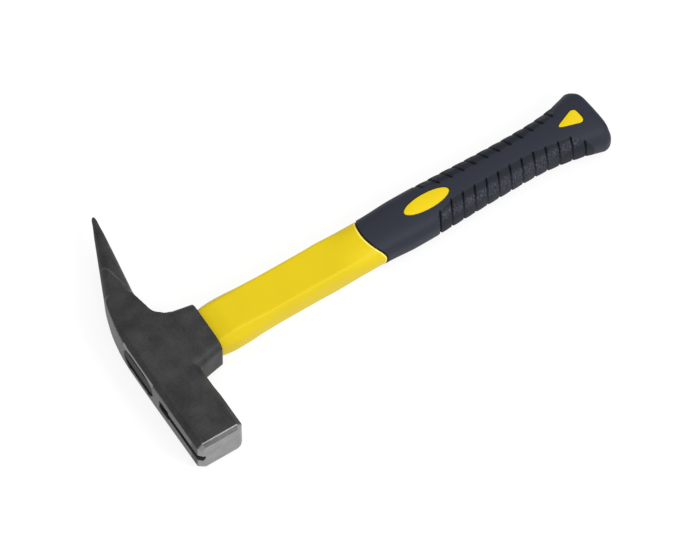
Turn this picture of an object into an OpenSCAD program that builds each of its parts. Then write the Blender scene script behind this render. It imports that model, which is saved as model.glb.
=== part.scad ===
// Roofer's hammer with a pick, a magnetic nail holder and an overmoulded fibreglass handle.
// It lies on one cheek: +X runs along the handle to the butt, and -Y is the way the poll strikes.
// The origin is on the lower cheek, under the crossing of the handle's axis and the poll's axis.

/* [Head] */
// Thickness of the head from cheek to cheek
head_t = 30; // [28:0.5:36]
// Width of the poll from the nail side to the handle side
poll_w = 31.2; // [29:0.2:38]
// Reach from the handle's axis to the striking face
poll_reach = 69.5; // [64:0.5:90]
// Width that the poll's long edges take off the nail and handle sides
poll_edge_x = 3.4; // [1:0.1:4]
// Width that the poll's long edges take off the cheeks
poll_edge_z = 3.5; // [2:0.1:5]
// Ground bevel round the striking face
face_bevel = 2.5; // [1:0.1:4]
// Distance from the poll's axis to the end of the collar
collar_end = 34; // [30:0.5:44]
// Width of the collar at its end
collar_w = 35.4; // [33:0.2:40]
// Slope of the collar's sides, in degrees
collar_slope = 11; // [6:0.5:18]
// Radius on the collar's long edges
collar_round = 6; // [3:0.5:8]

/* [Pick] */
// Reach from the handle's axis to the tip of the pick
pick_reach = 105; // [92:0.5:125]
// Radius of the curve from the nail side into the pick
back_radius = 125; // [90:1:150]
// Where the curve of the pick starts, from the handle's axis
back_start = 7; // [0:0.5:12]
// Lean of the pick's back line, in degrees
back_lean = 23.8; // [22.6:0.1:26]
// Lean of the pick's under line, in degrees
under_lean = 8.4; // [7:0.1:9.4]
// Distance from the handle's axis to the bend in the under line
bend_y = 43; // [38:0.5:45]
// Distance from the poll's axis to the bend in the under line
bend_x = 8.7; // [7.4:0.1:9.4]
// Distance from the poll's axis to the root of the pick at the collar
root_x = 11.2; // [9:0.2:14]
// Radius where the pick runs into the collar
root_round = 9; // [6:0.5:11]
// Distance from the handle's axis to where the cheeks start to thin
thin_start = 24; // [20:0.5:28]
// Distance from the handle's axis to the waist of the pick
waist_y = 50; // [46:0.5:56]
// Thickness of the pick at its waist
waist_t = 14.8; // [14:0.2:17]
// Distance from the handle's axis to where the flat of the cheeks ends, above which the pick is round
ground_y = 68.5; // [66:0.5:74]
// Depth that the round grinding takes off the pick's back and under lines
ground_in = 0.1; // [0.05:0.05:0.4]
// Distance from the handle's axis to where the round grinding leaves the under line
round_y = 50; // [48:0.5:54]
// Distance from the handle's axis to where the round grinding runs out
run_out_y = 44; // [42:0.5:46]
// Length of the rounded point at the end of the pick
point_l = 6; // [4:0.5:12]
// Radius of the pick where the rounded point starts
point_r = 2.4; // [2.2:0.1:3]
// Radius of the pick's tip
tip_r = 0.9; // [0.4:0.1:1.6]

/* [Nail holder] */
// Width of the nail groove
groove_w = 6; // [4.6:0.2:8]
// Depth of the nail groove
groove_d = 4.6; // [4.6:0.1:9]
// Length of the nail groove from the striking face
groove_l = 35; // [28:0.5:42]
// Width of the pocket for the nail's head
pocket_w = 10; // [8.4:0.2:14]
// Length of the pocket along the poll
pocket_l = 10.4; // [8.4:0.2:13]
// Depth of the pocket
pocket_d = 8.5; // [6:0.1:11]
// Diameter of the magnet
magnet_d = 7; // [4:0.1:8]
// Length of the magnet
magnet_l = 5; // [3:0.1:8]

/* [Handle core] */
// Diameter of the fibreglass rod
core_d = 16; // [13:0.2:17]
// Distance from the poll's axis to the butt end of the rod
core_end = 298; // [280:1:306]
// Height of the eye above and below the rod that resin fills
eye_film = 0.6; // [0.3:0.1:1]
// Half the distance between the round ends of the eye
eye_half = 6; // [3:0.2:6.5]
// How much the eye widens at its mouth on the nail side
eye_flare = 2.2; // [0.4:0.1:2.6]
// Depth of the flared part of the eye
flare_l = 11; // [8:0.5:14]
// Depth of the resin's surface below the mouth of the eye
resin_sink = 1; // [0.6:0.1:5]

/* [Shaft jacket] */
// Length of the jacket's nose inside the collar
nose_l = 10; // [6:0.5:14]
// Gap between the jacket's nose and the eye
nose_gap = 0.15; // [0.05:0.05:0.3]
// Width of the jacket where it meets the collar
entry_w = 31.2; // [30.4:0.2:33]
// Width of the jacket at its shoulder
shoulder_w = 33; // [33:0.2:38]
// Distance from the collar's end to the shoulder
shoulder_x = 13; // [10:0.5:18]
// Distance from the collar's end to the slim part of the shaft
slim_x = 48; // [36:1:60]
// Width of the slim part of the shaft
slim_w = 29.2; // [28:0.2:33]
// Thickness of the slim part of the shaft
slim_t = 22.6; // [21:0.2:26]
// Width of the jacket under the grip
tang_w = 26; // [23:0.2:27]
// Thickness of the jacket under the grip
tang_t = 19.6; // [19:0.1:20.4]
// Wall of the jacket over the butt end of the rod
tang_wall = 4; // [2:0.5:6]

/* [Grip] */
// Distance from the poll's axis to the grip's front edge on the broad faces
grip_front = 145.5; // [138:0.5:156]
// How far the front edge falls back at the narrow sides
front_arch = 6; // [4:0.5:10]
// Width of the grip at its front edge
front_w = 30.8; // [30.6:0.2:35]
// Thickness of the grip at its front edge
front_t = 24.8; // [24:0.2:27]
// Distance from the poll's axis to the palm swell
swell_x = 175; // [170:1:182]
// Width of the grip at the palm swell
swell_w = 32.8; // [32:0.2:38]
// Thickness of the grip at the palm swell
swell_t = 26.2; // [25:0.2:28]
// Distance from the poll's axis to the grip's waist
grip_waist_x = 258; // [250:1:264]
// Width of the grip's waist
grip_waist_w = 29.4; // [29:0.2:34]
// Thickness of the grip's waist
grip_waist_t = 24.4; // [23.4:0.2:26]
// Distance from the poll's axis to the butt end of the grip
butt_end = 312; // [310:0.5:330]
// Width of the butt
butt_w = 42; // [38:0.2:48]
// Length of the rounding at the butt end
butt_round = 6; // [5:0.5:10]
// Slant of the butt end, in degrees: the side that strikes reaches further
butt_slant = 6; // [0:0.5:8]
// How far the butt hangs over to the side that strikes
butt_drop = 0.7; // [0:0.1:3]
// Number of grip ribs on each side
rib_count = 13; // [6:1:13]
// Distance from the poll's axis to the first groove between ribs
rib_start = 192.5; // [190:0.5:196]
// Spacing of the grooves between ribs
rib_pitch = 8.4; // [6:0.1:8.6]
// Width of a groove between ribs
rib_gap = 1.6; // [0.8:0.1:2.4]
// Depth of a groove between ribs
rib_depth = 1; // [0.4:0.1:1.6]

/* [Windows] */
// Distance from the poll's axis to the middle of the oval window
oval_x = 191; // [186:0.5:196]
// Length of the oval window
oval_l = 32.5; // [20:0.5:36]
// Width of the oval window
oval_w = 11.2; // [7:0.2:13]
// Distance from the poll's axis to the point of the triangular window
tri_x = 285; // [282:0.5:288]
// Length of the triangular window
tri_l = 15.5; // [10:0.5:16]
// Width of the triangular window at its base
tri_w = 12; // [8:0.2:13]
// Corner radius of the triangular window
tri_r = 1.8; // [0.6:0.1:2]

/* [Hidden] */
$fn = 96;

// Room that a cutting shape gets beyond what it cuts
over = 40;
// What a blank keeps on each side until it is cut to size
spare = 2;
// Share by which a round face stands past a flat one, so that the two cross and never just touch
crossing = 0.004;
// How far the round part of an edge cut goes below its straight part, and the angle by which it laps it
skim = 0.01;
lap = 1;
// Radius where the cheeks start and stop thinning
cheek_round = 90;
// Radius of the bends in the under line
bend_round = 6;
// Length over which the shaft grows to meet the grip, and the step left at the grip's front edge
lead_l = 40;
lead_step = 0.3;
// How much of a change in the shaft's width its thickness follows
thick_share = 0.6;
half_t = head_t / 2;
nail_x = -poll_w / 2;
eye_r = core_d / 2 + eye_film;
mouth_r = eye_r + eye_flare;
resin_x = nail_x + resin_sink;
nose_x = collar_end - nose_l;
pocket_floor = nail_x + pocket_d;
pocket_y = groove_l - poll_reach;
tang_end = core_end + tang_wall;
butt_t = head_t;

// The pick's lines: its back leaves the curve at back_lean, and both lines meet beyond the tip.
pick_lean = (back_lean + under_lean) / 2;
pick_half = (back_lean - under_lean) / 2;
curve_end = [nail_x + back_radius * (1 - cos(back_lean)), back_start + back_radius * sin(back_lean)];
apex_y = pick_reach + (point_r / tan(pick_half) - point_l) * cos(pick_lean);
apex = [curve_end.x + (apex_y - curve_end.y) * tan(back_lean), apex_y];
shoulder = [apex.x - (apex_y - round_y) * tan(under_lean), round_y];
// The cheeks are as far apart at ground_y as the round pick is thick there.
ground_t = 2 * ((apex_y - ground_y) / cos(pick_lean) * tan(pick_half) - ground_in);
function collar_half(x) = collar_w / 2 + (collar_end - x) * tan(collar_slope);

// Points of one corner rounded to radius r, from the side of p to the side of n.
function corner(p, c, n, r, steps) =
    let (u = (p - c) / norm(p - c), v = (n - c) / norm(n - c))
    let (half = acos(max(-1, min(1, u * v))) / 2)
    let (mid = (u + v) / norm(u + v), hub = c + mid * r / sin(half))
    let (from = c + u * r / tan(half) - hub, turn = cross(u, v) > 0 ? 2 * half - 180 : 180 - 2 * half)
    r == 0 ? [c] : [for (i = [0:steps]) let (a = turn * i / steps)
        hub + [from.x * cos(a) - from.y * sin(a), from.x * sin(a) + from.y * cos(a)]];

// An outline of [x, y, radius] corners with each one rounded.
function rounded(pts, steps) = [for (i = [0:len(pts) - 1])
    let (p = pts[(i + len(pts) - 1) % len(pts)], c = pts[i], n = pts[(i + 1) % len(pts)])
    each corner([p.x, p.y], [c.x, c.y], [n.x, n.y], c[2], steps)];

// A smooth step from a to b as x goes from x0 to x1.
function ease(x, x0, x1, a, b) = a + (b - a) * (1 - cos(180 * max(0, min(1, (x - x0) / (x1 - x0))))) / 2;

// Cross-section of the handle: flat broad faces and narrow sides joined by slanted edges.
// Shares of the width and thickness that stay flat, and of the width that rounds the edges.
face_share = 0.68;
side_share = 0.4;
edge_share = 0.2;
// inset presses the narrow sides in, for a groove between ribs.
function section(w, t, inset = 0) =
    let (a = w / 2, b = t / 2, fa = face_share * a, fb = side_share * b, r = edge_share * w)
    let (q = [[a, -fb, r], [a, fb, r], [fa, b, r], [-fa, b, r],
        [-a, fb, r], [-a, -fb, r], [-fa, -b, r], [fa, -b, r]])
    [for (p = rounded(q, 4)) p - p / norm(p) * inset * ease(abs(p.x), 0.5 * a, 0.8 * a, 0, 1)];

// A section moved towards the side that strikes.
function moved(points, drop) = [for (p = points) p - [drop, 0]];

// A solid through rings of points, each ring [x, section, slant in degrees].
module loft(rings) {
    n = len(rings[0][1]);
    last = len(rings) - 1;
    points = [for (ring = rings) for (p = ring[1]) [ring[0] - p.x * tan(ring[2]), p.x, p.y]];
    sides = [for (i = [0:last - 1]) for (j = [0:n - 1])
        let (a = i * n + j, b = i * n + (j + 1) % n)
        each [[a, b + n, b], [a, a + n, b + n]]];
    near = [for (j = [0:n - 1]) j];
    far = [for (j = [n - 1:-1:0]) last * n + j];
    polyhedron(points, concat(sides, [near, far]));
}

// A shape drawn round the X axis with its outline in Y and Z, from x0 to x1.
module along_x(x0, x1) {
    translate([x0, 0, 0]) rotate([90, 0, 90]) linear_extrude(x1 - x0) children();
}

// The eye's long round hole: radius r0 at x0 and r1 at x1.
module long_hole(x0, x1, r0, r1) {
    flat = 1 - crossing;
    reach = eye_half * 0.95;
    for (y = [-eye_half, eye_half])
        translate([x0, y, 0]) rotate([0, 90, 0]) cylinder(h = x1 - x0, r1 = r0, r2 = r1);
    translate([0, reach, 0]) rotate([90, 0, 0]) linear_extrude(2 * reach)
        polygon([[x0, -r0 * flat], [x1, -r1 * flat], [x1, r1 * flat], [x0, r0 * flat]]);
}

// The inside of the eye between x0 and x1: a straight hole, and a flared mouth that runs out in it.
module eye_space(x0, x1) {
    slope = (mouth_r - eye_r) / flare_l;
    flare_end = nail_x + flare_l + spare;
    long_hole(x0, x1, eye_r, eye_r);
    long_hole(x0, flare_end, mouth_r - (x0 - nail_x) * slope, eye_r - spare * slope);
}

// Side view of the forged bar: the poll, the pick and the root of the collar.
module bar_outline() {
    root_end = root_x + root_round;
    back_corner = back_start + back_radius * tan(back_lean / 2);
    intersection() {
        polygon(rounded([
            [nail_x, -poll_reach, 0],
            [-nail_x, -poll_reach, 0],
            [-nail_x, -collar_half(-nail_x), 2],
            [root_end, -collar_half(root_end), 0],
            [root_end, collar_half(root_end), 0],
            [root_x, collar_half(root_x), root_round],
            [bend_x, bend_y, bend_round],
            [shoulder.x, shoulder.y, bend_round],
            [apex.x, apex.y, 0],
            [nail_x, back_corner, 0]], 10));
        union() {
            translate([nail_x + back_radius, back_start]) circle(back_radius);
            translate([nail_x - spare, -poll_reach - spare])
                square([4 * over, poll_reach + back_start + spare]);
            translate([nail_x - spare, curve_end.y]) square([4 * over, apex.y]);
        }
    }
}

// Edge-on view of the head: flat cheeks that thin along the pick.
module thickness_outline() {
    fall = (waist_t - ground_t) / 2 / (ground_y - waist_y);
    end_y = apex_y + spare;
    end_t = waist_t / 2 - (end_y - waist_y) * fall;
    half = [[-poll_reach - over, half_t, 0], [thin_start, half_t, cheek_round],
        [waist_y, waist_t / 2, cheek_round], [end_y, max(tip_r, end_t), 0]];
    mirrored = [for (i = [len(half) - 1:-1:0]) [half[i].x, -half[i].y, half[i][2]]];
    polygon(rounded(concat(half, mirrored), 8));
}

// What the round grinding leaves: a cone with a rounded point and a round tip.
// Behind round_y it opens out until it clears the corners of the bar at run_out_y.
module ground_shape() {
    reach = (apex_y - round_y) / cos(pick_lean);
    run_out = (apex_y - run_out_y) / cos(pick_lean);
    run_out_r = norm([run_out * tan(pick_half), waist_t / 2]) + spare / 2;
    point_start = point_r / tan(pick_half);
    tip_hub = point_start - point_l + tip_r;
    point_steps = 6;
    point = [for (i = [0:point_steps]) let (a = 90 * i / point_steps)
        [tip_r + (point_r - ground_in - tip_r) * sin(a), point_start - (point_l - tip_r) * cos(a)]];
    far = pick_reach + poll_reach + 3 * over;
    translate([apex.x, apex.y, 0]) rotate([0, 0, -pick_lean]) rotate([90, 0, 0]) {
        rotate_extrude() polygon(concat([[0, tip_hub]], point, [
            [reach * tan(pick_half) - ground_in, reach], [run_out_r, run_out],
            [run_out_r + 2 * over, run_out + 2 * over], [run_out_r + 2 * over, far], [0, far]]));
        translate([0, 0, tip_hub]) sphere(tip_r);
    }
}

// One long edge of the nail side or handle side, as a cut outline: u runs outwards and z up.
module edge_cut_outline(face) {
    run = [-poll_edge_x, poll_edge_z];
    a = [face, half_t - poll_edge_z] - run;
    b = [face - poll_edge_x, half_t] + run;
    out = [poll_edge_z, poll_edge_x] * 2;
    polygon([a, b, b + out, a + out]);
}

// The slanted long edges of the poll, carried round the curve of the pick's back.
module long_edges() {
    for (side = [0, 1]) mirror([0, 0, side]) {
        for (face = [0, 1]) mirror([1 - face, 0, 0])
            translate([0, back_start, 0]) rotate([90, 0, 0])
                linear_extrude(poll_reach + back_start + over) edge_cut_outline(poll_w / 2);
        translate([nail_x + back_radius, back_start, 0]) rotate([0, 0, 180 - back_lean])
            rotate_extrude(angle = back_lean + lap) edge_cut_outline(back_radius - skim);
    }
}

// The ground bevel round the striking face, one cut for each of its eight sides.
module face_cuts() {
    slant = atan2(poll_edge_x, poll_edge_z);
    slant_far = (poll_w / 2) * cos(slant) + (half_t - poll_edge_z) * sin(slant);
    sides = concat([[0, poll_w / 2], [180, poll_w / 2], [90, half_t], [270, half_t]],
        [for (a = [slant, 180 - slant, 180 + slant, 360 - slant]) [a, slant_far]]);
    for (s = sides)
        rotate([0, s[0], 0]) translate([s[1] - face_bevel, -poll_reach, 0]) rotate([0, 0, -45])
            translate([0, -over / 2, -over]) cube([over, over, 2 * over]);
}

// The collar seen from above: sides that slope, moved outwards by grow.
module collar_plan(grow) {
    x0 = -nail_x - poll_edge_x;
    polygon([[x0, -collar_half(x0) - grow], [collar_end, -collar_half(collar_end) - grow],
        [collar_end, collar_half(collar_end) + grow], [x0, collar_half(x0) + grow]]);
}

// The collar: a boss with sloping sides and round long edges, left high for the cheeks to be cut.
module collar() {
    inset = collar_round / cos(collar_slope);
    edge_r = collar_round * (1 + crossing);
    intersection() {
        linear_extrude(head_t + spare, center = true) collar_plan(0);
        union() {
            linear_extrude(head_t - 2 * collar_round, center = true) collar_plan(spare);
            linear_extrude(head_t + 2 * spare, center = true) collar_plan(-inset);
            for (s = [-1, 1]) for (z = [collar_round - half_t, half_t - collar_round])
                translate([collar_end, s * (collar_half(collar_end) - inset), z])
                    rotate([0, 0, -s * collar_slope]) rotate([0, 90, 0])
                        cylinder(h = 4 * over, r = edge_r, center = true);
        }
    }
}

// Where the sharp root of the collar slopes down to meet the collar's round edges.
module root_slopes() {
    x0 = -nail_x - poll_edge_x;
    x1 = root_x + root_round;
    drop = collar_round / 2;
    for (side = [0, 1]) mirror([0, 0, side])
        translate([0, 2 * over, 0]) rotate([90, 0, 0]) linear_extrude(4 * over)
            polygon([[x0, half_t], [x1, half_t - drop], [x1 + spare, half_t - drop],
                [x1 + spare, half_t + 2 * spare], [x0, half_t + 2 * spare]]);
}

// The nail groove with its round floor, and the pocket for the nail's head.
module nail_space() {
    floor_x = nail_x + groove_d - groove_w / 2;
    rotate([90, 0, 0]) {
        translate([floor_x, 0, -pocket_y - spare]) cylinder(h = groove_l + over, d = groove_w);
        translate([floor_x - over, -groove_w / 2, -pocket_y - spare]) cube([over, groove_w, groove_l + over]);
    }
    translate([pocket_floor - over, pocket_y, -pocket_w / 2]) cube([over, pocket_l, pocket_w]);
}

// The magnet's round seat, sunk into the floor of the pocket.
module magnet_shape() {
    translate([pocket_floor, pocket_y + pocket_l / 2, 0]) rotate([0, 90, 0])
        cylinder(h = magnet_l, d = magnet_d);
}

module head() {
    color("#3c3d3e") translate([0, 0, half_t]) difference() {
        intersection() {
            union() {
                difference() {
                    intersection() {
                        linear_extrude(head_t + spare, center = true) bar_outline();
                        ground_shape();
                    }
                    long_edges();
                    root_slopes();
                }
                collar();
            }
            along_x(-over, 2 * over) thickness_outline();
        }
        face_cuts();
        eye_space(nail_x - spare, collar_end + spare);
        nail_space();
        magnet_shape();
    }
}

module nail_magnet() {
    color("#8c8f93") translate([0, 0, half_t]) magnet_shape();
}

module core_rod() {
    color("#cfd3b4") translate([resin_x, 0, half_t]) rotate([0, 90, 0])
        cylinder(h = core_end - resin_x, d = core_d);
}

module eye_resin() {
    color("#5a4a32") translate([0, 0, half_t]) difference() {
        eye_space(resin_x, nose_x);
        translate([resin_x - spare, 0, 0]) rotate([0, 90, 0])
            cylinder(h = nose_x - resin_x + 2 * spare, d = core_d);
    }
}

// Width and thickness of the open shaft at x.
function shaft_w(x) = let (dx = x - collar_end)
    dx < shoulder_x ? entry_w + (shoulder_w - entry_w) * sin(90 * dx / shoulder_x)
    : ease(x, collar_end + shoulder_x, collar_end + slim_x, shoulder_w, slim_w)
        + ease(x, grip_front - lead_l, grip_front, 0, front_w - slim_w - lead_step);
function shaft_t(x) = slim_t + (shaft_w(x) - slim_w) * thick_share;

// Width and thickness of the grip at x.
flare_x = butt_end - butt_round;
function flare(x) = pow(max(0, (x - grip_waist_x) / (flare_x - grip_waist_x)), 2.2);
function grip_w(x) = x < swell_x ? ease(x, grip_front, swell_x, front_w, swell_w)
    : ease(x, swell_x, grip_waist_x, swell_w, grip_waist_w) + (butt_w - grip_waist_w) * flare(x);
function grip_t(x) = x < swell_x ? ease(x, grip_front, swell_x, front_t, swell_t)
    : ease(x, swell_x, grip_waist_x, swell_t, grip_waist_t) + (butt_t - grip_waist_t) * flare(x);

// Everything behind the grip's arched front edge.
module behind_front() {
    half = shaft_w(grip_front) / 2;
    r = (half * half + front_arch * front_arch) / 2 / front_arch;
    translate([grip_front + r, 0, 0]) {
        cylinder(h = 2 * over, r = r, center = true);
        translate([0, -over, -over]) cube([butt_end, 2 * over, 2 * over]);
    }
}

// The open shaft, carried a little way on under the grip's front edge.
module shaft_body() {
    steps = 22;
    end = grip_front + front_arch + 4;
    loft([for (i = [0:steps]) let (x = collar_end + (end - collar_end) * pow(i / steps, 1.4))
        [x, section(shaft_w(x), shaft_t(x)), 0]]);
}

// The slim tang of the jacket under the grip.
module tang() {
    loft([for (x = [grip_front - 10, tang_end]) [x, section(tang_w, tang_t), 0]]);
}

// The outside of the grip, with its ribs and its rounded butt.
module grip_body() {
    start = grip_front - 2;
    front = [for (i = [0:6]) let (x = start + (rib_start - rib_pitch / 2 - start) * i / 6) [x, 0]];
    ribs = [for (i = [0:rib_count - 1]) let (x = rib_start + i * rib_pitch)
        each [[x - rib_gap / 2, 0], [x, rib_depth], [x + rib_gap / 2, 0], [x + rib_pitch / 2, 0]]];
    ribs_end = rib_start + (rib_count - 0.5) * rib_pitch;
    back = [for (i = [1:2]) [ribs_end + (flare_x - ribs_end) * i / 2, 0]];
    body = [for (s = concat(front, ribs, back)) let (drop = ease(s[0], grip_waist_x, flare_x, 0, butt_drop))
        [s[0], moved(section(grip_w(s[0]), grip_t(s[0]), s[1]), drop),
            ease(s[0], grip_waist_x, flare_x, 0, butt_slant)]];
    end = [for (a = [18:18:72]) let (shrink = 2 * butt_round * (1 - cos(a)))
        [flare_x + butt_round * sin(a), moved(section(butt_w - shrink, butt_t - shrink), butt_drop), butt_slant]];
    loft(concat(body, end));
}

// The windows through the grip, right across the handle.
module windows() {
    steps = 48;
    linear_extrude(2 * over, center = true) {
        translate([oval_x, 0]) polygon([for (i = [0:steps - 1]) let (a = 360 * i / steps)
            [oval_l / 2 * cos(a), oval_w / 2 * sin(a)]]);
        polygon(rounded([[tri_x, 0, tri_r], [tri_x + tri_l, -tri_w / 2, tri_r],
            [tri_x + tri_l, tri_w / 2, tri_r]], 5));
    }
}

module shaft_jacket() {
    color("#e6cb1e") translate([0, 0, half_t]) difference() {
        union() {
            difference() {
                shaft_body();
                behind_front();
            }
            tang();
            intersection() {
                grip_body();
                windows();
            }
            long_hole(nose_x, collar_end + spare, eye_r - nose_gap, eye_r - nose_gap);
        }
        translate([nose_x - spare, 0, 0]) rotate([0, 90, 0])
            cylinder(h = core_end - nose_x + spare, d = core_d);
    }
}

module grip() {
    color("#32353d") translate([0, 0, half_t]) difference() {
        intersection() {
            grip_body();
            behind_front();
        }
        tang();
        windows();
    }
}

head();
nail_magnet();
core_rod();
eye_resin();
shaft_jacket();
grip();
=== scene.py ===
import math
import bpy
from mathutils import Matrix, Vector, geometry


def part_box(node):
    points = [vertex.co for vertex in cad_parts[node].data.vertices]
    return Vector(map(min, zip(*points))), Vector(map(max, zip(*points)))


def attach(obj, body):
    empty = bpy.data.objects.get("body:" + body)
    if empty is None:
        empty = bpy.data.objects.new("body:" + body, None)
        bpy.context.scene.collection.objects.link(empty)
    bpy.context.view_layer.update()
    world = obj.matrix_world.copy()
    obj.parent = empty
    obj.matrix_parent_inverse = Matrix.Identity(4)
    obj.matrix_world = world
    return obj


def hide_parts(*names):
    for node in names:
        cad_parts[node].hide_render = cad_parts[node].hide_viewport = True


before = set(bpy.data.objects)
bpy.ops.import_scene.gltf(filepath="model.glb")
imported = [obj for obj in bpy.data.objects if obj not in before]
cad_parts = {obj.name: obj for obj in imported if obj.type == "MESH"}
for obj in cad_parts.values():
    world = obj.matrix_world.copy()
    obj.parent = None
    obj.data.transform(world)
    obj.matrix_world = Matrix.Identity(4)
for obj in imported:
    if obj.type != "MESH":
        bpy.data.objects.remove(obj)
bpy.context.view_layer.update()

# Head: one drop forging of carbon steel, blackened all over in a hot oxide bath.
# The poll's face and the bevel round it are ground bright afterwards, and the nail groove is milled.
# Its edges are the soft ones of a die, apart from those that grinding leaves.
MM = 0.001
head_low, head_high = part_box("head")
mid_z = (head_low.z + head_high.z) / 2
poll_left, poll_right = 15.6 * MM, 16.1 * MM
poll_start, poll_fade, poll_corner = 36 * MM, 8 * MM, 6 * MM
poll_shift, shift_start = 0.6 * MM, 15 * MM
edge_cut_w, edge_cut_h = 3.4 * MM, 3.5 * MM
face_stock, face_spare = 6 * MM, 3 * MM
face_bevel, face_rim, rim_slope = 2.5 * MM, 0.32 * MM, 2.2
tip_start, tip_stretch, tip_thinning = 92 * MM, 0.35 * MM, 0.22
head_voxel, forging_passes, collar_passes = 0.5 * MM, 2, 30

# Where the collar is softened and where painted highlights and a painted reflection lie on the oxide, in
# millimetres, and how strong they are.
collar_near, collar_far, collar_side, collar_fade = 15, 32.5, 8, 2
back_x, back_start, back_radius, back_skin = -15.6, 7, 125, 0.5
back_reflection, back_reflection_end, back_reflection_fade = 0.32, 70, 30
eye_rim_depth, eye_rim_low, eye_rim_high, eye_rim_half, eye_rim_highlight = 1.4, 10, 12.2, 17, 0.9
ground_line_highlight, ground_line_fade = 0.2, 0.3
ground_line = [(1.2, 69.8), (2.5, 69.6), (4.2, 68.2), (5.1, 66), (7.4, 54), (7.75, 51.7)]


def select_nothing():
    """Leaves edit mode and deselects every object."""
    if bpy.context.mode != "OBJECT":
        bpy.ops.object.mode_set(mode="OBJECT")
    bpy.ops.object.select_all(action="DESELECT")


def select_only(piece):
    """Leaves edit mode and makes one piece the active and only selected object."""
    select_nothing()
    bpy.context.view_layer.objects.active = piece
    piece.select_set(True)


def edit(piece, kind="VERT"):
    """Opens a piece in edit mode with everything selected."""
    select_only(piece)
    bpy.ops.object.mode_set(mode="EDIT")
    bpy.ops.mesh.select_mode(type=kind)
    bpy.ops.mesh.select_all(action="SELECT")


def modify(piece, kind, **settings):
    """Adds a modifier with its settings and applies it."""
    select_only(piece)
    modifier = piece.modifiers.new(kind.lower(), kind)
    for key, value in settings.items():
        setattr(modifier, key, value)
    bpy.ops.object.modifier_apply(modifier=modifier.name)


def copy_of(node, name):
    """A new piece that starts as a merged copy of a CAD node's mesh."""
    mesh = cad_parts[node].data.copy()
    mesh.materials.clear()
    piece = bpy.data.objects.new(name, mesh)
    bpy.context.scene.collection.objects.link(piece)
    edit(piece)
    bpy.ops.mesh.remove_doubles(threshold=0.002 * MM)
    bpy.ops.object.mode_set(mode="OBJECT")
    return piece


def cut(piece, point, normal, fill=True):
    """Cuts away what lies beyond a plane, on the side that its normal points to."""
    edit(piece)
    bpy.ops.mesh.bisect(plane_co=point, plane_no=normal, use_fill=fill, clear_outer=True)


def linear(code):
    """An sRGB hex colour as linear light."""
    parts = [int(code[i:i + 2], 16) / 255 for i in (1, 3, 5)]
    return [p / 12.92 if p <= 0.04045 else ((p + 0.055) / 1.055) ** 2.4 for p in parts] + [1]


def new_material(name):
    """An empty procedural material and its node tree."""
    material = bpy.data.materials.new(name)
    material.use_nodes = True
    material.node_tree.nodes.clear()
    return material, material.node_tree


def add(tree, kind, settings, links):
    """Adds a node, sets its properties and inputs, and links inputs to (node, output) pairs."""
    made = tree.nodes.new(kind)
    for key, value in settings.items():
        if key in made.bl_rna.properties.keys():
            setattr(made, key, value)
        else:
            made.inputs[key].default_value = value
    for key, (source, output) in links.items():
        tree.links.new(source.outputs[output], made.inputs[key])
    return made


# Hot black oxide on a forging: a satin, near neutral black with a fine grain, paler on rubbed edges.
# The grain is drawn coarser than the real one, which is too fine to show.
oxide_black = "#1e1e20"
oxide_grey = "#343435"
worn_edge = "#6a6a6b"
highlight_grey = "#8a8a8b"
oxide, tree = new_material("black_oxide_steel")
place = add(tree, "ShaderNodeTexCoord", {}, {})
grain = add(tree, "ShaderNodeTexNoise", {"Scale": 1 / (0.9 * MM), "Detail": 3.0},
            {"Vector": (place, "Object")})
cloud = add(tree, "ShaderNodeTexNoise", {"Scale": 1 / (14 * MM), "Detail": 2.0},
            {"Vector": (place, "Object")})
speckle = add(tree, "ShaderNodeMath", {"operation": "MULTIPLY_ADD", 1: 0.75},
              {0: (grain, "Fac"), 2: (cloud, "Fac")})
spread = add(tree, "ShaderNodeMapRange", {"From Min": 0.66, "From Max": 1.08}, {"Value": (speckle, 0)})
skin = add(tree, "ShaderNodeMix", {"data_type": "RGBA", 6: linear(oxide_black), 7: linear(oxide_grey)},
           {0: (spread, 0)})
shape = add(tree, "ShaderNodeNewGeometry", {}, {})
edges = add(tree, "ShaderNodeMapRange", {"From Min": 0.525, "From Max": 0.6},
            {"Value": (shape, "Pointiness")})
wear_and_sheen = add(tree, "ShaderNodeMath", {"operation": "MULTIPLY"}, {0: (edges, 0), 1: (grain, "Fac")})
with_wear_and_sheen = add(tree, "ShaderNodeMix", {"data_type": "RGBA", 7: linear(worn_edge)},
           {0: (wear_and_sheen, 0), 6: (skin, 2)})
# Painted highlights and a painted reflection: the head's attribute mixes in a pale grey.
painted_highlight = add(tree, "ShaderNodeAttribute", {"attribute_name": "painted_highlight"}, {})
colour = add(tree, "ShaderNodeMix", {"data_type": "RGBA", 7: linear(highlight_grey)},
             {0: (painted_highlight, "Fac"), 6: (with_wear_and_sheen, 2)})
gloss = add(tree, "ShaderNodeMapRange", {"To Min": 0.46, "To Max": 0.6}, {"Value": (grain, "Fac")})
bump = add(tree, "ShaderNodeBump", {"Strength": 0.25, "Distance": 0.05 * MM}, {"Height": (grain, "Fac")})
shader = add(tree, "ShaderNodeBsdfPrincipled", {"Specular IOR Level": 0.28},
             {"Base Color": (colour, 2), "Roughness": (gloss, 0), "Normal": (bump, 0)})
add(tree, "ShaderNodeOutputMaterial", {}, {"Surface": (shader, 0)})


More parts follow.
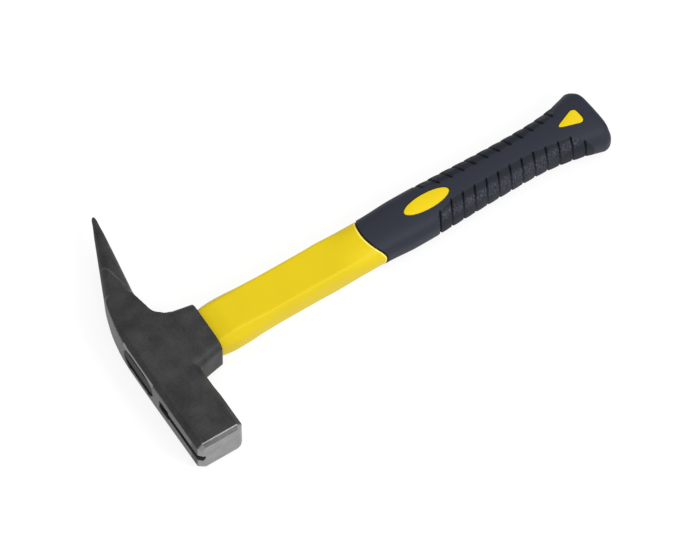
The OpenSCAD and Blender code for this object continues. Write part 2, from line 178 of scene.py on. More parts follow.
def ground_steel(name, dark, light):
    """Steel off a belt grinder: a soft grey shine, streaked by fine parallel scratches."""
    material, tree = new_material(name)
    place = add(tree, "ShaderNodeTexCoord", {}, {})
    belt = add(tree, "ShaderNodeMapping", {"Scale": (0.08, 0.4, 1.0)}, {"Vector": (place, "Object")})
    scratch = add(tree, "ShaderNodeTexNoise", {"Scale": 1 / (0.5 * MM), "Detail": 3.0},
                  {"Vector": (belt, 0)})
    stain = add(tree, "ShaderNodeTexNoise", {"Scale": 1 / (7 * MM)}, {"Vector": (place, "Object")})
    tone = add(tree, "ShaderNodeMath", {"operation": "ADD"}, {0: (scratch, "Fac"), 1: (stain, "Fac")})
    spread = add(tree, "ShaderNodeMapRange", {"From Min": 0.6, "From Max": 1.4}, {"Value": (tone, 0)})
    colour = add(tree, "ShaderNodeMix", {"data_type": "RGBA", 6: linear(dark), 7: linear(light)},
                 {0: (spread, 0)})
    gloss = add(tree, "ShaderNodeMapRange", {"To Min": 0.4, "To Max": 0.52}, {"Value": (scratch, "Fac")})
    bump = add(tree, "ShaderNodeBump", {"Strength": 0.25, "Distance": 0.03 * MM},
               {"Height": (scratch, "Fac")})
    shader = add(tree, "ShaderNodeBsdfPrincipled", {"Metallic": 1.0},
                 {"Base Color": (colour, 2), "Roughness": (gloss, 0), "Normal": (bump, 0)})
    add(tree, "ShaderNodeOutputMaterial", {}, {"Surface": (shader, 0)})
    return material


# The face is cut off, the poll is drawn out a little, and the forging's edges are softened all over.
# The poll stands a little off square, and its lower corner towards the handle is rounder than the rest.
head = copy_of("head", "hammer_head")
face_y = head_low.y
cut(head, (0, face_y + face_stock, 0), (0, -1, 0), fill=False)
bpy.ops.mesh.extrude_edges_move(TRANSFORM_OT_translate={"value": (0, -face_stock - face_spare, 0)})
bpy.ops.mesh.edge_face_add()
bpy.ops.object.mode_set(mode="OBJECT")
modify(head, "REMESH", mode="VOXEL", voxel_size=head_voxel)
modify(head, "SMOOTH", factor=0.5, iterations=forging_passes)
collar_edges = head.vertex_groups.new(name="collar_edges")
for point in head.data.vertices:
    x, y = point.co.x / MM, abs(point.co.y) / MM
    inside = min(x - collar_near, collar_far - x, y - collar_side)
    collar_edges.add([point.index], max(0, min(1, inside / collar_fade)), "REPLACE")
modify(head, "SMOOTH", factor=0.5, iterations=collar_passes, vertex_group="collar_edges")
for point in head.data.vertices:
    x, y, z = point.co
    down = max(0, min(1, (-y - poll_start) / poll_fade))
    p, q = (x - poll_left) / poll_corner + 1, 1 - z / poll_corner
    far = math.hypot(p, q)
    if p > 0 and q > 0 and far > 1:
        point.co.x -= down * (p - p / far) * poll_corner
        point.co.z += down * (q - q / far) * poll_corner
    if point.co.x > 0:
        point.co.x *= 1 + down * (poll_right / poll_left - 1)
    point.co.x += poll_shift * max(0, -y - shift_start) / (-face_y - shift_start)

# The tip of the pick is filed finer than it was forged.
tip = max((point.co for point in head.data.vertices), key=lambda place: place.y).copy()
ring = [point.co for point in head.data.vertices if abs(point.co.y - tip_start) < head_voxel]
base = sum(ring, Vector()) / len(ring)
for point in head.data.vertices:
    share = (point.co.y - base.y) / (tip.y - base.y)
    if share > 0:
        axis = base.lerp(tip, share)
        point.co.x -= (point.co.x - axis.x) * tip_thinning * share
        point.co.z -= (point.co.z - axis.z) * tip_thinning * share
        point.co.y += tip_stretch * share ** 2

# Painted light on the oxide: a painted reflection pales the back, a painted highlight runs along the line
# where the cheeks were ground, and another runs round the rim of the eye.
painted_highlight = head.data.attributes.new("painted_highlight", "FLOAT", "POINT")
for point in head.data.vertices:
    x, y, z = point.co.x / MM, point.co.y / MM, abs(point.co.z - mid_z) / MM
    share = 0
    # A painted reflection pales the back.
    if x < back_x + max(0, y - back_start) ** 2 / (2 * back_radius) + back_skin:
        share = back_reflection * max(0, min(1, (back_reflection_end - y) / back_reflection_fade))
    # A painted highlight round the rim of the eye.
    if x < back_x + eye_rim_depth and eye_rim_low < z < eye_rim_high and abs(y) < eye_rim_half:
        share = eye_rim_highlight
    # A painted highlight along the line where the cheeks were ground.
    for a, b in zip(ground_line, ground_line[1:]):
        near, along = geometry.intersect_point_line((x, y), a, b)
        if 0 <= along <= 1:
            share = max(share, ground_line_highlight - ground_line_fade * (near - Vector((x, y))).length)
    painted_highlight.data[point.index].value = share

# The face and the eight sides of its bevel are ground back to their true planes.
# A thin rim is left where each side of the bevel meets the oxide.
cut(head, (0, face_y, 0), (0, -1, 0))
face_finish, bevel_painted_shade, rim_painted_highlight = 1, 2, 3
ground_planes = [(Vector((0, -1, 0)), face_finish)]
edge_turn = math.atan2(edge_cut_w, edge_cut_h)
sides = [(0, poll_right, face_finish), (math.pi, poll_left, face_finish),
         (math.pi / 2, mid_z, bevel_painted_shade), (-math.pi / 2, mid_z, bevel_painted_shade)]
for turn, half in ((edge_turn, poll_right), (-edge_turn, poll_right), (math.pi - edge_turn, poll_left),
                   (math.pi + edge_turn, poll_left)):
    reach = half * math.cos(edge_turn) + (mid_z - edge_cut_h) * math.sin(edge_turn)
    sides.append((turn, reach, face_finish))
for turn, reach, finish in sides:
    outwards = Vector((math.cos(turn), 0, math.sin(turn)))
    middle = Vector((poll_shift, face_y, mid_z))
    bevel = (outwards + Vector((0, -1, 0))).normalized()
    cut(head, middle + outwards * (reach - face_bevel), bevel)
    rim = (outwards * rim_slope + Vector((0, -1, 0))).normalized()
    cut(head, middle + outwards * (reach - face_rim) + Vector((0, face_bevel - face_rim, 0)), rim)
    ground_planes += [(bevel, finish), (rim, rim_painted_highlight)]
bpy.ops.mesh.select_all(action="SELECT")
bpy.ops.mesh.normals_make_consistent(inside=False)
select_only(head)
bpy.ops.object.shade_smooth_by_angle(angle=math.radians(30))
# The top and bottom sides of the bevel take a darker copy of the ground steel as painted shade, and the
# rims a copy paler than that as a painted highlight.
head.data.materials.append(oxide)
head.data.materials.append(ground_steel("ground_steel_face", "#848485", "#9f9fa0"))
head.data.materials.append(ground_steel("ground_steel_bevel_painted_shade", "#4c4c4d", "#6c6c6d"))
head.data.materials.append(ground_steel("ground_steel_rim_painted_highlight", "#606061", "#7c7c7d"))
least_match, least_area, ground_depth = 0.985, 2 * head_voxel ** 2, 1.4 * face_bevel
for face in head.data.polygons:
    closest, finish = max((face.normal.dot(normal), index) for normal, index in ground_planes)
    if closest > least_match and face.area > least_area and face.center.y < face_y + ground_depth:
        face.material_index = finish
        face.use_smooth = False
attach(head, "root")
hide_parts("head")

# Nail magnet: a sintered slug, nickel plated in a barrel and pressed into the floor of the nail pocket.
# Its plain round shape is the CAD node's own.
nickel, tree = new_material("nickel_plate")
place = add(tree, "ShaderNodeTexCoord", {}, {})
barrel = add(tree, "ShaderNodeTexNoise", {"Scale": 1 / (1.5 * MM), "Detail": 4.0},
             {"Vector": (place, "Object")})
colour = add(tree, "ShaderNodeMix", {"data_type": "RGBA", 6: linear("#8b8a86"), 7: linear("#b3b1ab")},
             {0: (barrel, "Fac")})
gloss = add(tree, "ShaderNodeMapRange", {"To Min": 0.2, "To Max": 0.4}, {"Value": (barrel, "Fac")})
shader = add(tree, "ShaderNodeBsdfPrincipled", {"Metallic": 1.0},
             {"Base Color": (colour, 2), "Roughness": (gloss, 0)})
add(tree, "ShaderNodeOutputMaterial", {}, {"Surface": (shader, 0)})
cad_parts["nail_magnet"].material_slots[0].material = nickel

# Core rod: pultruded glass fibre in black polyester, sawn off inside the eye.
# Only its end shows: dull grey with the cut fibres as a fine speckle,
# and painted near black as shade towards the cheeks, outside a strip along the middle.
lit_strip_half = 4.3 * MM
fibreglass, tree = new_material("black_fibreglass")
place = add(tree, "ShaderNodeTexCoord", {}, {})
fibre = add(tree, "ShaderNodeTexVoronoi", {"Scale": 1 / (0.6 * MM)}, {"Vector": (place, "Object")})
colour = add(tree, "ShaderNodeMix", {"data_type": "RGBA", 6: linear("#58585a"), 7: linear("#2e2e30")},
             {0: (fibre, "Distance")})
height = add(tree, "ShaderNodeSeparateXYZ", {}, {"Vector": (place, "Object")})
aside = add(tree, "ShaderNodeMath", {"operation": "COMPARE", 1: mid_z, 2: lit_strip_half}, {0: (height, "Z")})
# Painted shade: outside the middle strip the rod's end is near black.
rod_painted_shade = add(tree, "ShaderNodeMix", {"data_type": "RGBA", 6: linear("#060607")},
              {0: (aside, 0), 7: (colour, 2)})
bump = add(tree, "ShaderNodeBump", {"Strength": 0.4, "Distance": 0.1 * MM}, {"Height": (fibre, "Distance")})
shader = add(tree, "ShaderNodeBsdfPrincipled", {"Roughness": 0.8, "Specular IOR Level": 0.1},
             {"Base Color": (rod_painted_shade, 2), "Normal": (bump, 0)})
add(tree, "ShaderNodeOutputMaterial", {}, {"Surface": (shader, 0)})
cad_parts["core_rod"].material_slots[0].material = fibreglass

# Eye resin: black filled epoxy, poured round the rod to lock the head on, a little short of the mouth.
# It sets with a faintly wavy, dull skin, and a strip along its middle is painted grey as a reflection.
epoxy, tree = new_material("black_epoxy")
place = add(tree, "ShaderNodeTexCoord", {}, {})
skin = add(tree, "ShaderNodeTexNoise", {"Scale": 1 / (4 * MM), "Detail": 2.0},
           {"Vector": (place, "Object")})
colour = add(tree, "ShaderNodeMix", {"data_type": "RGBA", 6: linear("#060607"), 7: linear("#0e0e0f")},
             {0: (skin, "Fac")})
height = add(tree, "ShaderNodeSeparateXYZ", {}, {"Vector": (place, "Object")})
aside = add(tree, "ShaderNodeMath", {"operation": "COMPARE", 1: mid_z, 2: lit_strip_half}, {0: (height, "Z")})
# Painted reflection: a grey strip along the middle of the resin.
resin_painted_reflection = add(tree, "ShaderNodeMix", {"data_type": "RGBA", 7: linear("#4a4a4c")},
             {0: (aside, 0), 6: (colour, 2)})
bump = add(tree, "ShaderNodeBump", {"Strength": 0.5, "Distance": 0.3 * MM}, {"Height": (skin, "Fac")})
shader = add(tree, "ShaderNodeBsdfPrincipled", {"Roughness": 0.8, "Specular IOR Level": 0.05},
             {"Base Color": (resin_painted_reflection, 2), "Normal": (bump, 0)})
add(tree, "ShaderNodeOutputMaterial", {}, {"Surface": (shader, 0)})
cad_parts["eye_resin"].material_slots[0].material = epoxy

# Shaft jacket: yellow polypropylene moulded over the rod, with a nose that plugs the collar.
# It runs on as a slim tang inside the grip, and its oval and triangular pads fill the grip's windows.
# All sizes of the handle are in millimetres, along X from the poll's axis.
collar_end, grip_front, flare_x = 34, 145.5, 306
collar_w, shoulder_run, shoulder_rise = 29.6, 13, 3
shoulder_x, shoulder_w = collar_end + shoulder_run, collar_w + shoulder_rise
slim_x, slim_w, slim_t, thickening = 82, 28.2, 22.6, 0.5
swell_x, swell_w = 105.5, 2.1
palm_x, waist_x, flare_power = 175, 258, 2.2
front_w, palm_w, waist_w, flare_w = 30.8, 32.8, 29.4, 12.6
front_t, palm_t, waist_t, flare_t = 24.8, 26.2, 24.4, 5.6
face_share, side_share = 0.68, 0.4
corner_power = 2.7
moulded_round, round_steps = 1.2, 4
longest_edges = (10, 5, 2.5, 1.2)
sink_run, sink_share = 12, 0.12
spread_end, least_spread, most_spread = 80, 0.06, 0.26
round_start, round_end = 116, 142
arch_start, arch_r, arch_y, side_fall, fall_half = 110, 25, 2.5, 1, 10
bead = ((143, 0), (143.5, 0.3), (144, 0.5), (144.5, 0.5), (144.8, 0.3), (145, -0.2))
bead_highlight_from, bead_highlight_inner_r = 143.9, 10.5
nose_start, nose_r, nose_half, nose_overlap = 24, 8.45, 6, 2
rod_r, rod_end, bore_spare = 8, 298, 2
tang_start, tang_end, tang_w, tang_t = 135, 302, 23.6, 18.4
oval_x, oval_l, oval_w, oval_sides = 191, 32.6, 11.2, 72
tri_x, tri_l, tri_w, tri_corner = 284.0, 17.9, 13.3, 4.2
tri_slant, tri_drop = 0.12, 0.35
pad_gap, pad_round, pads_from, pad_lift = 0.25, 0.7, 160, 0.5


def ease(x, x0, x1, a, b):
    """A smooth step from a to b as x goes from x0 to x1."""
    share = max(0, min(1, (x - x0) / (x1 - x0)))
    return a + (b - a) * (1 - math.cos(math.pi * share)) / 2


def shaft_size(x):
    """Width and thickness of the open shaft at x: a shoulder, a slim part and a swell to the grip."""
    if x < shoulder_x:
        w = collar_w + shoulder_rise * math.sin(math.pi / 2 * (x - collar_end) / shoulder_run)
    else:
        w = ease(x, shoulder_x, slim_x, shoulder_w, slim_w) + ease(x, swell_x, grip_front, 0, swell_w)
    return w, slim_t + (w - slim_w) * thickening


def grip_size(x):
    """Width and thickness of the grip at x: a palm swell, a waist and a flare to the butt."""
    flare = max(0, (x - waist_x) / (flare_x - waist_x)) ** flare_power
    if x < palm_x:
        return ease(x, grip_front, palm_x, front_w, palm_w), ease(x, grip_front, palm_x, front_t, palm_t)
    w = ease(x, palm_x, waist_x, palm_w, waist_w) + flare_w * flare
    return w, ease(x, palm_x, waist_x, palm_t, waist_t) + flare_t * flare


def softened(y, z, w, t, share):
    """How much to scale a point of a cross-section to round its corners off, fully with a share of 1."""
    size = (abs(2 * y / w) ** corner_power + abs(2 * z / t) ** corner_power) ** (1 / corner_power)
    return 1 + share * (1 / max(size, 1) - 1)


def front_edge(y, z):
    """How far the grip's arched front edge falls back, from a peak a little off the middle."""
    arch = arch_r - math.sqrt(arch_r ** 2 - (y - arch_y) ** 2)
    return arch + side_fall * max(0, 1 - abs(z) / fall_half)


def pick(piece, kind, elements, chosen):
    """Opens a piece in edit mode with only the chosen vertices, edges or faces selected."""
    edit(piece, kind)
    bpy.ops.mesh.select_all(action="DESELECT")
    bpy.ops.object.mode_set(mode="OBJECT")
    for element in getattr(piece.data, elements):
        element.select = chosen(element)
    bpy.ops.object.mode_set(mode="EDIT")


def long_edge(piece, limit):
    """A test for edges of a piece that are longer than a limit in millimetres."""
    points = piece.data.vertices
    return lambda edge: (points[edge.vertices[0]].co - points[edge.vertices[1]].co).length > limit * MM


def cross_ring(name, x, w, t, edge_round, steps):
    """An open ring across the handle: flat faces and sides, joined by slanted, rounded edges."""
    select_nothing()
    hub = (x * MM, 0, mid_z)
    bpy.ops.mesh.primitive_plane_add(size=1, location=hub, rotation=(0, math.pi / 2, 0))
    piece = bpy.context.object
    piece.name = name
    bpy.ops.object.transform_apply(location=True, rotation=True, scale=True)
    edit(piece)
    slant_w, slant_t = (1 - face_share) / 2, (1 - side_share) / 2
    bpy.ops.transform.resize(value=(1, 1 / slant_w, 1 / slant_t), center_override=hub)
    bpy.ops.mesh.bevel(offset=1, offset_type="ABSOLUTE", segments=1, affect="VERTICES")
    bpy.ops.mesh.select_all(action="SELECT")
    bpy.ops.transform.resize(value=(1, w * MM * slant_w, t * MM * slant_t), center_override=hub)
    bpy.ops.mesh.bevel(offset=edge_round * MM, offset_type="ABSOLUTE", segments=steps, affect="VERTICES")
    bpy.ops.mesh.select_all(action="SELECT")
    bpy.ops.mesh.delete(type="ONLY_FACE")
    for limit in longest_edges:
        pick(piece, "EDGE", "edges", long_edge(piece, limit))
        bpy.ops.mesh.subdivide(number_cuts=1)
    return piece


def draw_out(piece, stations):
    """Draws a ring out through stations of (x, width, thickness) and closes both ends."""
    edit(piece, "EDGE")
    x, w, t = stations[0]
    for next_x, next_w, next_t in stations[1:]:
        bpy.ops.mesh.extrude_edges_move(TRANSFORM_OT_translate={"value": ((next_x - x) * MM, 0, 0)})
        bpy.ops.transform.resize(value=(1, next_w / w, next_t / t), center_override=(next_x * MM, 0, mid_z))
        x, w, t = next_x, next_w, next_t
    bpy.ops.mesh.select_all(action="SELECT")
    bpy.ops.mesh.fill_holes(sides=0)
    bpy.ops.mesh.select_all(action="SELECT")
    bpy.ops.mesh.normals_make_consistent(inside=False)
    bpy.ops.object.mode_set(mode="OBJECT")


def tang_bar(name):
    """A plain bar of the tang's size."""
    piece = cross_ring(name, tang_start, tang_w, tang_t, moulded_round, round_steps)
    draw_out(piece, [(tang_start, tang_w, tang_t), (tang_end, tang_w, tang_t)])
    return piece


def combine(piece, tool, operation):
    """Joins a tool to a piece, or cuts it out of it, and removes the tool."""
    modify(piece, "BOOLEAN", object=tool, operation=operation)
    bpy.data.objects.remove(tool)


def prism(name, sides, x, length, width, corner):
    """A standing prism with an oval outline, or a triangular one that leans with the butt."""
    low, high = -20, 20
    select_nothing()
    bpy.ops.mesh.primitive_circle_add(vertices=sides, radius=1, fill_type="NGON",
                                      rotation=(0, 0, math.pi / 2))
    piece = bpy.context.object
    piece.name = name
    bpy.ops.object.transform_apply(location=True, rotation=True, scale=True)
    edit(piece)
    reach = Vector((max(v.co.x for v in piece.data.vertices), max(v.co.y for v in piece.data.vertices)))
    middle = x + length / (1 + reach.x)
    size = (length / (1 + reach.x) * MM, width / 2 / reach.y * MM, 1)
    bpy.ops.transform.resize(value=size, center_override=(0, 0, 0))
    bpy.ops.transform.translate(value=(middle * MM, 0, mid_z + low * MM))
    if corner:
        bpy.ops.mesh.bevel(offset=corner * MM, offset_type="ABSOLUTE", segments=6, affect="VERTICES")
        bpy.ops.mesh.select_all(action="SELECT")
    bpy.ops.mesh.extrude_region_move(TRANSFORM_OT_translate={"value": (0, 0, (high - low) * MM)})
    bpy.ops.mesh.select_all(action="SELECT")
    bpy.ops.mesh.normals_make_consistent(inside=False)
    bpy.ops.object.mode_set(mode="OBJECT")
    if corner:
        for point in piece.data.vertices:
            point.co.x -= tri_slant * point.co.y
            point.co.y -= tri_drop * MM
    return piece


def pad(name, sides, x, length, width, corner):
    """A pad that fills a window of the grip, cut flush with both broad faces and rounded at its rims."""
    piece = prism(name, sides, x + pad_gap, length - 2 * pad_gap, width - 2 * pad_gap, corner)
    near, far = grip_size(x)[1] / 2, grip_size(x + length)[1] / 2
    for side in (1, -1):
        normal = Vector((near - far, 0, side * length)).normalized()
        cut(piece, (x * MM, 0, mid_z + side * near * MM), normal)
    bpy.ops.mesh.select_all(action="DESELECT")
    bpy.ops.mesh.select_mode(type="EDGE")
    bpy.ops.mesh.edges_select_sharp(sharpness=math.radians(60))
    bpy.ops.mesh.bevel(offset=pad_round * MM, segments=3, affect="EDGES")
    bpy.ops.object.mode_set(mode="OBJECT")
    return piece


# The open shaft: near the collar its broad faces sink and spread.
# Towards the grip its corners round off, and it ends in a low bead along the grip's arched front edge.
stations = [(x, *shaft_size(x)) for x in [collar_end + shoulder_run * i / 10 for i in range(11)]]
stations += [(x, *shaft_size(x)) for x in range(49, 144, 2)]
for x, grow in bead:
    w, t = shaft_size(x)
    stations.append((x, w + grow, t + grow))
jacket = cross_ring("shaft_jacket_moulding", *stations[0], moulded_round, round_steps)
draw_out(jacket, stations)
for point in jacket.data.vertices:
    x, y, z = point.co.x / MM, point.co.y / MM, (point.co.z - mid_z) / MM
    w, t = shaft_size(x)
    rise = max(0, min(1, (abs(z) / t * 2 - side_share) / (1 - side_share)))
    sink = max(0, 1 - (x - collar_end) / sink_run)
    y *= 1 + rise * (ease(x, shoulder_x, spread_end, least_spread, most_spread) + sink_share * sink)
    z *= 1 - sink_share * rise * sink
    scale = softened(y, z, w, t, ease(x, round_start, round_end, 0, 1))
    y, z = y * scale, z * scale
    point.co.y, point.co.z = y * MM, mid_z + z * MM
    point.co.x += front_edge(y, z) * ease(x, arch_start, grip_front, 0, 1) * MM

# The tang, the nose and the pads are joined to it, and the rod's bore is cut.
combine(jacket, tang_bar("tang"), "UNION")
select_nothing()
bpy.ops.mesh.primitive_circle_add(vertices=48, radius=nose_r * MM, fill_type="NGON",
                                  location=(nose_start * MM, 0, mid_z), rotation=(0, math.pi / 2, 0))
nose = bpy.context.object
bpy.ops.object.transform_apply(location=True, rotation=True, scale=True)
hair = 0.01 * MM
for side in (1, -1):
    pick(nose, "VERT", "vertices", lambda point: side * point.co.y > hair)
    bpy.ops.transform.translate(value=(0, side * nose_half * MM, 0))
edit(nose)
nose_l = collar_end + nose_overlap - nose_start
bpy.ops.mesh.extrude_region_move(TRANSFORM_OT_translate={"value": (nose_l * MM, 0, 0)})
bpy.ops.mesh.select_all(action="SELECT")
bpy.ops.mesh.normals_make_consistent(inside=False)
combine(jacket, nose, "UNION")
combine(jacket, pad("oval_pad", oval_sides, oval_x - oval_l / 2, oval_l, oval_w, 0), "UNION")
combine(jacket, pad("tri_pad", 3, tri_x, tri_l, tri_w, tri_corner), "UNION")
select_nothing()
bore_start = nose_start - bore_spare
bore_middle = ((rod_end + bore_start) / 2 * MM, 0, mid_z)
bpy.ops.mesh.primitive_cylinder_add(vertices=64, radius=rod_r * MM, depth=(rod_end - bore_start) * MM,
                                    location=bore_middle, rotation=(0, math.pi / 2, 0))
combine(jacket, bpy.context.object, "DIFFERENCE")
select_only(jacket)
bpy.ops.object.shade_smooth_by_angle(angle=math.radians(25))


def polypropylene(name, dark, light, smooth):
    """Moulded polypropylene: an even yellow with a low satin shine and faintly rippled reflections."""
    material, tree = new_material(name)
    place = add(tree, "ShaderNodeTexCoord", {}, {})
    flow = add(tree, "ShaderNodeTexNoise", {"Scale": 1 / (22 * MM), "Detail": 2.0},
               {"Vector": (place, "Object")})
    peel = add(tree, "ShaderNodeTexNoise", {"Scale": 1 / (1.4 * MM), "Detail": 2.0},
               {"Vector": (place, "Object")})
    colour = add(tree, "ShaderNodeMix", {"data_type": "RGBA", 6: linear(dark), 7: linear(light)},
                 {0: (flow, "Fac")})
    gloss = add(tree, "ShaderNodeMapRange", {"To Min": smooth, "To Max": smooth + 0.1},
                {"Value": (peel, "Fac")})
    bump = add(tree, "ShaderNodeBump", {"Strength": 0.12, "Distance": 0.05 * MM}, {"Height": (peel, "Fac")})
    shader = add(tree, "ShaderNodeBsdfPrincipled", {"Specular IOR Level": 0.2},
                 {"Base Color": (colour, 2), "Roughness": (gloss, 0), "Normal": (bump, 0)})
    add(tree, "ShaderNodeOutputMaterial", {}, {"Surface": (shader, 0)})
    return material


# The open shaft is satin and the pads are a little smoother; the bead is coloured paler as a painted
# highlight.
jacket.data.materials.append(polypropylene("yellow_polypropylene", "#ccb300", "#d4bb00", 0.4))
jacket.data.materials.append(polypropylene("yellow_polypropylene_pad", "#d4b900", "#dec300", 0.32))
jacket.data.materials.append(polypropylene("yellow_polypropylene_bead_painted_highlight", "#e6d040", "#efdc60", 0.3))
for face in jacket.data.polygons:
    x, y, z = face.center.x / MM, face.center.y / MM, abs(face.center.z - mid_z) / MM
    if x > pads_from and z > tang_t / 2 + pad_lift:
        face.material_index = 1
    # The bead's faces take the paler painted highlight.
    elif x < pads_from and x - front_edge(y, z) > bead_highlight_from and math.hypot(y, z) > bead_highlight_inner_r:
        face.material_index = 2
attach(jacket, "root")
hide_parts("shaft_jacket")

# Grip: dark thermoplastic rubber moulded round the tang, with windows for the pads and a flared butt.
# Both narrow sides carry a sunk band of pillowed ribs, parted by slits that lean to the head.
# Its front edge steps down to the jacket's bead, and that step is painted black as shade, like the slits.
butt_r, butt_depth, butt_turn = 4.6, 6, 12
butt_drop, butt_slant, butt_bow = 1.1, 0.1, 0.0025
butt_end = ((0.1, 0.8), (0.15, 0.5))
lip_foot, lip_round = 1.6, 0.5
lip_start, lip_rise, lip_edge, gap_end, lip_end = 145.1, 145.8, 145.9, 146.1, 146.3
arch_end = 180
grip_round, grip_steps = 2.4, 6
rib_start, rib_end, rib_cuts, rib_edge_least = 190, 302, 11, 2
slit_count, slit_x, slit_y, slit_pitch = 13, 196.4, 6, 8.46
slit_half, far_slit_half, slit_depth = 0.66, 0.85, 1.2
slit_fade, slit_full = -0.6, 0.2
shallow_share, shallow_start, shallow_end = 0.6, 2, 9
lean_start, lean_end, front_lean, butt_lean = 200, 280, 0.47, 0.34
band_sink, band_fade, band_ramp = 0.42, 0.4, 1.5
pillow_rise, pillow_skew = 0.3, 0.7
sheen_y, sheen_half = 12.6, 3
band_edge = [(190, 13.2), (194, 10), (204, 6.8), (213, 6), (262, 5.6), (288, 8.7), (299, 19)]


def band_inner(x):
    """How far from the handle's middle line the ribbed band starts at x, or nothing off its ends."""
    for (x0, y0), (x1, y1) in zip(band_edge, band_edge[1:]):
        if x0 <= x <= x1:
            return y0 + (y1 - y0) * (x - x0) / (x1 - x0)


def step_up(value, low, high):
    """A straight ramp from 0 to 1 between low and high."""
    return max(0, min(1, (value - low) / (high - low)))


def rib_shares(x, y):
    """How much a point at x and y belongs to the ribbed band, to a slit and to a rib's pillow."""
    start = band_inner(x)
    if start is None:
        return 0, 0, 0
    across = abs(y) - start
    lean = ease(x, lean_start, lean_end, front_lean, butt_lean)
    count = (x - slit_x + lean * (abs(y) - slit_y)) / slit_pitch
    nearest = max(0, min(slit_count - (1 if y < 0 else 2), round(count)))
    aside = abs(count - nearest) * slit_pitch / (slit_half if y < 0 else far_slit_half)
    deep = 1 - shallow_share * step_up(across, shallow_start, shallow_end)
    slit = max(0, 1 - aside ** 2) * deep * step_up(across, slit_fade, slit_full)
    band = step_up(across, 0, band_fade) * step_up(x, band_edge[0][0], band_edge[0][0] + band_ramp)
    return band, slit, math.sin(math.pi * (count % 1) ** pillow_skew)


w, t = grip_size(grip_front)
lip = ((lip_start, lip_foot), (lip_rise, lip_foot), (lip_edge, lip_round), (lip_end, 0))
stations = [(x, w - less, t - less) for x, less in lip]
palm_stations = [147, *range(150, rib_start, 5)]
rib_stations = [*range(rib_start, flare_x, 4), flare_x]
stations += [(x, *grip_size(x)) for x in palm_stations + rib_stations]
for turn in range(butt_turn, 90, butt_turn):
    sine, shrink = math.sin(math.radians(turn)), 2 * butt_r * (1 - math.cos(math.radians(turn)))
    w, t = grip_size(flare_x)
    stations.append((flare_x + butt_depth * sine, w - shrink, t - shrink))
x, w, t = stations[-1]
stations += [(x + out, w * share, t * share) for out, share in butt_end]
grip = cross_ring("grip_moulding", *stations[0], grip_round, grip_steps)
draw_out(grip, stations)
points = grip.data.vertices


def rib_edge(edge):
    """Whether an edge runs along the ribbed part of the grip."""
    a, b = points[edge.vertices[0]].co, points[edge.vertices[1]].co
    return abs(a.x - b.x) > rib_edge_least * MM and rib_start * MM < (a.x + b.x) / 2 < rib_end * MM


pick(grip, "EDGE", "edges", rib_edge)
bpy.ops.mesh.subdivide(number_cuts=rib_cuts)
bpy.ops.object.mode_set(mode="OBJECT")
ribbed = grip.data.attributes.new("ribbed", "FLOAT", "POINT")
painted_slit_shade = grip.data.attributes.new("painted_slit_shade", "FLOAT", "POINT")
wear_and_sheen = grip.data.attributes.new("wear_and_sheen", "FLOAT", "POINT")
for point in grip.data.vertices:
    x, y, z = point.co.x / MM, point.co.y / MM, (point.co.z - mid_z) / MM
    scale = softened(y, z, *grip_size(min(x, flare_x)), 1)
    point.co.y, point.co.z = y * scale * MM, mid_z + z * scale * MM
moves = []
for point in grip.data.vertices:
    x, y, z = point.co.x / MM, point.co.y / MM, (point.co.z - mid_z) / MM
    band, slit, pillow = rib_shares(x, y)
    ribbed.data[point.index].value = band
    # The slits and the front step are painted black as shade.
    painted_slit_shade.data[point.index].value = max(slit, step_up(x, lip_end, gap_end))
    # A painted highlight in streaks along the middle of the ribbed band.
    wear_and_sheen.data[point.index].value = band * (1 - slit) * max(0, 1 - ((abs(y) - sheen_y) / sheen_half) ** 2)
    move = point.normal * -(slit * slit_depth + band * (band_sink - pillow_rise * pillow))
    move.x += front_edge(y, z) * ease(x, grip_front, arch_end, 1, 0)
    move.x -= ease(x, waist_x, flare_x, 0, 1) * (butt_slant * y + butt_bow * y ** 2)
    move.y -= ease(x, waist_x, flare_x, 0, 1) * butt_drop
    moves.append(move * MM)
for point, move in zip(grip.data.vertices, moves):
    point.co += move

# The windows and the tang's room are cut out of it.
combine(grip, prism("oval_window", oval_sides, oval_x - oval_l / 2, oval_l, oval_w, 0), "DIFFERENCE")
combine(grip, prism("tri_window", 3, tri_x, tri_l, tri_w, tri_corner), "DIFFERENCE")
combine(grip, tang_bar("tang_room"), "DIFFERENCE")
select_only(grip)
bpy.ops.object.shade_smooth_by_angle(angle=math.radians(35))

# Moulded thermoplastic rubber: a bluish near black with a fine matte grain.
# The ribbed band is rougher and painted darker as shade, pale streaks along the middle of its ribs are a
# painted highlight, and the slits and the front step are painted black as shade.
rubber, tree = new_material("thermoplastic_rubber")
place = add(tree, "ShaderNodeTexCoord", {}, {})
band = add(tree, "ShaderNodeAttribute", {"attribute_name": "ribbed"}, {})
slit = add(tree, "ShaderNodeAttribute", {"attribute_name": "painted_slit_shade"}, {})
wear_and_sheen = add(tree, "ShaderNodeAttribute", {"attribute_name": "wear_and_sheen"}, {})
grain = add(tree, "ShaderNodeTexNoise", {"Scale": 1 / (0.8 * MM), "Detail": 3.0},
            {"Vector": (place, "Object")})
across = add(tree, "ShaderNodeMapping", {"Scale": (1.0, 0.4, 0.4)}, {"Vector": (place, "Object")})
streak = add(tree, "ShaderNodeTexNoise", {"Scale": 1 / (0.6 * MM), "Detail": 4.0}, {"Vector": (across, 0)})
pale = add(tree, "ShaderNodeMapRange", {"From Min": 0.42, "From Max": 0.72}, {"Value": (streak, "Fac")})
# Pale streaks along the ribs' middle: a painted highlight.
sheen_streaks = add(tree, "ShaderNodeMath", {"operation": "MULTIPLY"}, {0: (pale, 0), 1: (wear_and_sheen, "Fac")})
plain = add(tree, "ShaderNodeMix", {"data_type": "RGBA", 6: linear("#20232e"), 7: linear("#272a36")},
            {0: (grain, "Fac")})
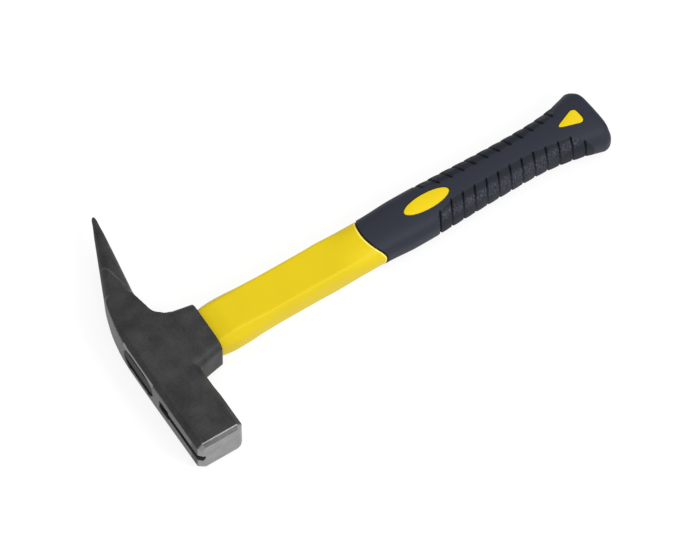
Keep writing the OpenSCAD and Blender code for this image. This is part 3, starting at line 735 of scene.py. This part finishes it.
# The ribbed band is painted darker as shade.
band_painted_shade = add(tree, "ShaderNodeMix", {"data_type": "RGBA", 7: linear("#1b1e27")},
          {0: (band, "Fac"), 6: (plain, 2)})
with_wear_and_sheen = add(tree, "ShaderNodeMix", {"data_type": "RGBA", 7: linear("#4a4e56")},
           {0: (sheen_streaks, 0), 6: (band_painted_shade, 2)})
# The slits and the front step are painted near black as shade.
colour = add(tree, "ShaderNodeMix", {"data_type": "RGBA", 7: linear("#050506")},
             {0: (slit, "Fac"), 6: (with_wear_and_sheen, 2)})
gloss = add(tree, "ShaderNodeMapRange", {"To Min": 0.55, "To Max": 0.7}, {"Value": (band, "Fac")})
height = add(tree, "ShaderNodeMath", {"operation": "ADD"}, {0: (grain, "Fac"), 1: (sheen_streaks, 0)})
bump = add(tree, "ShaderNodeBump", {"Strength": 0.2, "Distance": 0.06 * MM}, {"Height": (height, 0)})
shader = add(tree, "ShaderNodeBsdfPrincipled", {"Specular IOR Level": 0.2},
             {"Base Color": (colour, 2), "Roughness": (gloss, 0), "Normal": (bump, 0)})
add(tree, "ShaderNodeOutputMaterial", {}, {"Surface": (shader, 0)})
grip.data.materials.append(rubber)
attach(grip, "root")
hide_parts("grip")

# Camera, floor and light: the photograph's own viewing angle, from far off with a long lens.
# The floor is a pale sheet that glows a little, so that it comes out white with faint shadows.
# Round it are a white tent, three large soft boxes and a small one that draws the collar's edge.
aim = Vector((126.49, -15.11, 15.14)) * MM
view_from = Vector((-0.2424, -0.3820, 0.8918))
camera_distance = 6.0
picture_pixels, pixels_per_mm = 700, 1.65
picture_w = picture_pixels / pixels_per_mm * MM
floor_side, floor_glow, tent_glow = 6, 0.83, 0.6
lens = bpy.data.cameras.new("long_lens")
lens.lens = lens.sensor_width * camera_distance / picture_w
camera = bpy.data.objects.new("camera", lens)
camera.location = aim + view_from.normalized() * camera_distance
camera.rotation_euler = (-view_from).to_track_quat("-Z", "Y").to_euler()
bpy.context.scene.collection.objects.link(camera)
bpy.context.scene.camera = camera

select_nothing()
bpy.ops.mesh.primitive_plane_add(size=floor_side)
floor = bpy.context.object
floor.name = "floor"
paper, tree = new_material("floor_paper")
sheet = {"Base Color": linear("#707070"), "Roughness": 0.9,
         "Emission Color": linear("#ffffff"), "Emission Strength": floor_glow}
shader = add(tree, "ShaderNodeBsdfPrincipled", sheet, {})
add(tree, "ShaderNodeOutputMaterial", {}, {"Surface": (shader, 0)})
floor.data.materials.append(paper)

tent = bpy.data.worlds.new("white_tent")
tent.use_nodes = True
tent.node_tree.nodes["Background"].inputs["Color"].default_value = linear("#ffffff")
tent.node_tree.nodes["Background"].inputs["Strength"].default_value = tent_glow
bpy.context.scene.world = tent
bpy.context.scene.view_settings.view_transform = "Standard"


def soft_box(name, place, target, size, watts):
    """A square soft light at a place, turned to its target."""
    light = bpy.data.lights.new(name, "AREA")
    light.size = size
    light.energy = watts
    box = bpy.data.objects.new(name, light)
    box.location = place
    box.rotation_euler = (Vector(target) - Vector(place)).to_track_quat("-Z", "Y").to_euler()
    box.visible_camera = False
    bpy.context.scene.collection.objects.link(box)


soft_box("key_light", (-0.2, -0.3, 1.3), aim, 1.0, 5)
soft_box("fill_light", (0.7, 0.2, 1.1), aim, 1.2, 3)
soft_box("side_light", (0.45, -1.05, 0.55), aim, 0.8, 2.6)
soft_box("edge_light", (0.42, -0.76, 0.88), aim, 0.3, 5)
